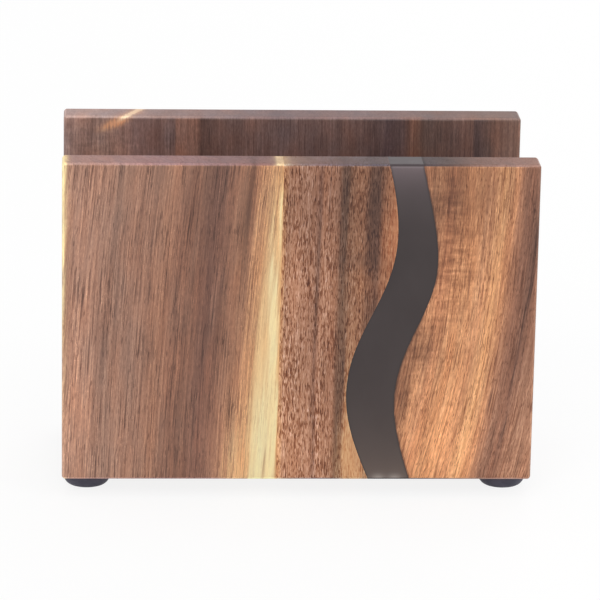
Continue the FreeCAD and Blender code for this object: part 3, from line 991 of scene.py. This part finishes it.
def white_air():
    """Air that fills the shadows with AIR and looks plain white."""
    finish = Finish(bpy.data.worlds.new("studio_air"))
    fill = finish.node("Background", None, {"Color": WHITE, "Strength": AIR})
    white = finish.node("Background", None, {"Color": WHITE, "Strength": 1.0})
    shader = finish.node("MixShader", None, {0: seen(finish), 1: fill, 2: white})
    finish.node("OutputWorld", None, {"Surface": shader})
    return finish.owner


scene.world = white_air()
print("the air fills with", AIR, "and shows as 1")

# %% Floor paint
SHADOW_KEPT = 0.18
PAINT_LIT = 0.8
PALE_GREY, PALER_GREY = (0.84, 0.84, 0.84, 1.0), (0.86, 0.86, 0.86, 1.0)


def floor_paint():
    """Pale paint that keeps a part of its shadow, the rest plain white."""
    finish = Finish(bpy.data.materials.new("floor_paint"))
    mottle = cloud(place_in(finish), (40.0, 40.0, 40.0), 2.0)
    paint = finish.node("BsdfPrincipled", None, {
        "Base Color": blend(finish, mottle, PALE_GREY, PALER_GREY),
        "Roughness": 1.0,
        "Specular IOR Level": 0.0,
    })
    # Lit paint and white together come to 1, so that the bare floor is just white.
    strength = (1.0 - SHADOW_KEPT * PAINT_LIT) / (1.0 - SHADOW_KEPT)
    white = finish.node("Emission", None, {"Color": WHITE, "Strength": strength})
    share = seen(finish) * (1.0 - SHADOW_KEPT)
    shader = finish.node("MixShader", None, {0: share, 1: paint, 2: white})
    finish.node("OutputMaterial", None, {"Surface": shader})
    return finish.owner


print("of a shadow on the floor,", SHADOW_KEPT, "shows")

# %% Floor
FLOOR_RADIUS, FLOOR_RINGS, FLOOR_SPOKES = 4.0, 12, 64


def round_floor(radius, rings, spokes):
    """A round sheet, made of rings of four-sided faces about one middle fan."""
    points = [(0.0, 0.0, 0.0)]
    faces = []
    for ring in range(1, rings + 1):
        r = radius * (ring / rings) ** 2
        for spoke in range(spokes):
            turn = 2.0 * math.pi * spoke / spokes
            points.append((r * math.cos(turn), r * math.sin(turn), 0.0))
    for ring in range(rings):
        for spoke in range(spokes):
            after = (spoke + 1) % spokes
            outer = 1 + ring * spokes
            if ring == 0:
                faces.append((0, outer + spoke, outer + after))
            else:
                inner = outer - spokes
                faces.append((inner + spoke, outer + spoke, outer + after, inner + after))
    mesh = bpy.data.meshes.new("studio_floor")
    mesh.from_pydata(points, [], faces)
    mesh.materials.append(floor_paint())
    sheet = bpy.data.objects.new("studio_floor", mesh)
    scene.collection.objects.link(sheet)
    return sheet


floor = round_floor(FLOOR_RADIUS, FLOOR_RINGS, FLOOR_SPOKES)
print("floor faces:", len(floor.data.polygons))


# %% Lamps
AIM = Vector((0.0, 0.0, 0.06))


def lamp(name, place, size, power):
    """A round soft lamp: where it hangs and how wide it is in metres, and its watts."""
    data = bpy.data.lights.new(name, "AREA")
    data.shape = "DISK"
    data.size = size
    data.energy = power
    made = bpy.data.objects.new(name, data)
    made.location = place
    made.rotation_euler = (AIM - Vector(place)).to_track_quat("-Z", "Y").to_euler()
    scene.collection.objects.link(made)
    print(name, power, "W at", place)


lamp("front_lamp", (-0.7, -1.6, 1.3), 1.2, 9.0)
lamp("low_lamp", (0.3, -1.7, 0.35), 1.0, 5.0)
lamp("right_lamp", (1.5, -0.9, 1.2), 1.0, 5.0)
lamp("top_lamp", (0.0, 0.1, 1.8), 1.4, 6.0)
lamp("back_lamp", (0.6, 1.6, 1.1), 1.2, 7.0)

# %% [markdown]
# ## The camera
#
# A long lens from in front, a little to the left and above, looking down at about 16 degrees: the
# front plate shows its true outline and the back plate looks over it. The position and the three
# directions are set as numbers, because a lens this long shows a tenth of a degree.

# %% Camera
EYE = Vector((-0.071095, -1.326651, 0.451293))
LOOK = Vector((0.05288463, 0.95790234, -0.28218138)).normalized()
RIGHT = Vector((0.99859554, -0.04982686, 0.01800648)).normalized()
LENS, SENSOR = 232.35, 36.0
NEAREST, FURTHEST = 0.05, 20.0

eye_data = bpy.data.cameras.new("eye")
eye_data.lens = LENS
eye_data.sensor_width = SENSOR
eye_data.clip_start = NEAREST
eye_data.clip_end = FURTHEST
eye = bpy.data.objects.new("eye", eye_data)
up = RIGHT.cross(LOOK).normalized()
across = LOOK.cross(up).normalized()
eye.matrix_world = Matrix.Translation(EYE) @ Matrix((across, up, -LOOK)).transposed().to_4x4()
scene.collection.objects.link(eye)
scene.camera = eye
scene.view_settings.view_transform = "Standard"
print("looking down", round(math.degrees(math.asin(-LOOK.z)), 2), "degrees, lens", LENS)

# %% [markdown]
# ## Up to date
#
# Last, the view layer is brought up to date.

# %% Update the view layer
bpy.context.view_layer.update()
